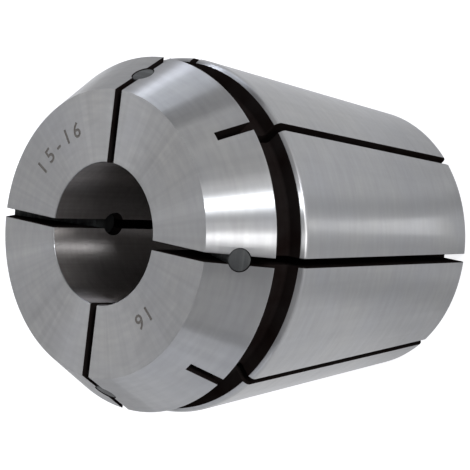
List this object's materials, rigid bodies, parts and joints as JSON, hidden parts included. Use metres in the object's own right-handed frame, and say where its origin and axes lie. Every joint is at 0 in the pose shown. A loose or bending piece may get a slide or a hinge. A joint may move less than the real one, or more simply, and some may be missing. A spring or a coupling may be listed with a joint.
{
  "type": "spring collet",
  "caption": "Sealed spring collet: slotted steel sleeve with a long rear taper, a steep nose cone, a nut groove and a through bore that closes on a round tool shank.",
  "frame": {"origin": "centre of the rear face, which the collet stands on", "axes": "+Z along the collet's axis, from the rear face to the nose face; +X through the middle of one front slot and its seal plug"},
  "size_m": [0.041, 0.041, 0.046],
  "materials": {
    "ground_steel": "ground bright on the face, cones and bore, black in the groove and slots",
    "seal_rubber": "matt"
  },
  "bodies": {
    "root": {"collet_body": "ground_steel", "seal_plug_1": "seal_rubber", "seal_plug_2": "seal_rubber", "seal_plug_3": "seal_rubber", "seal_plug_4": "seal_rubber"}
  },
  "joints": []
}
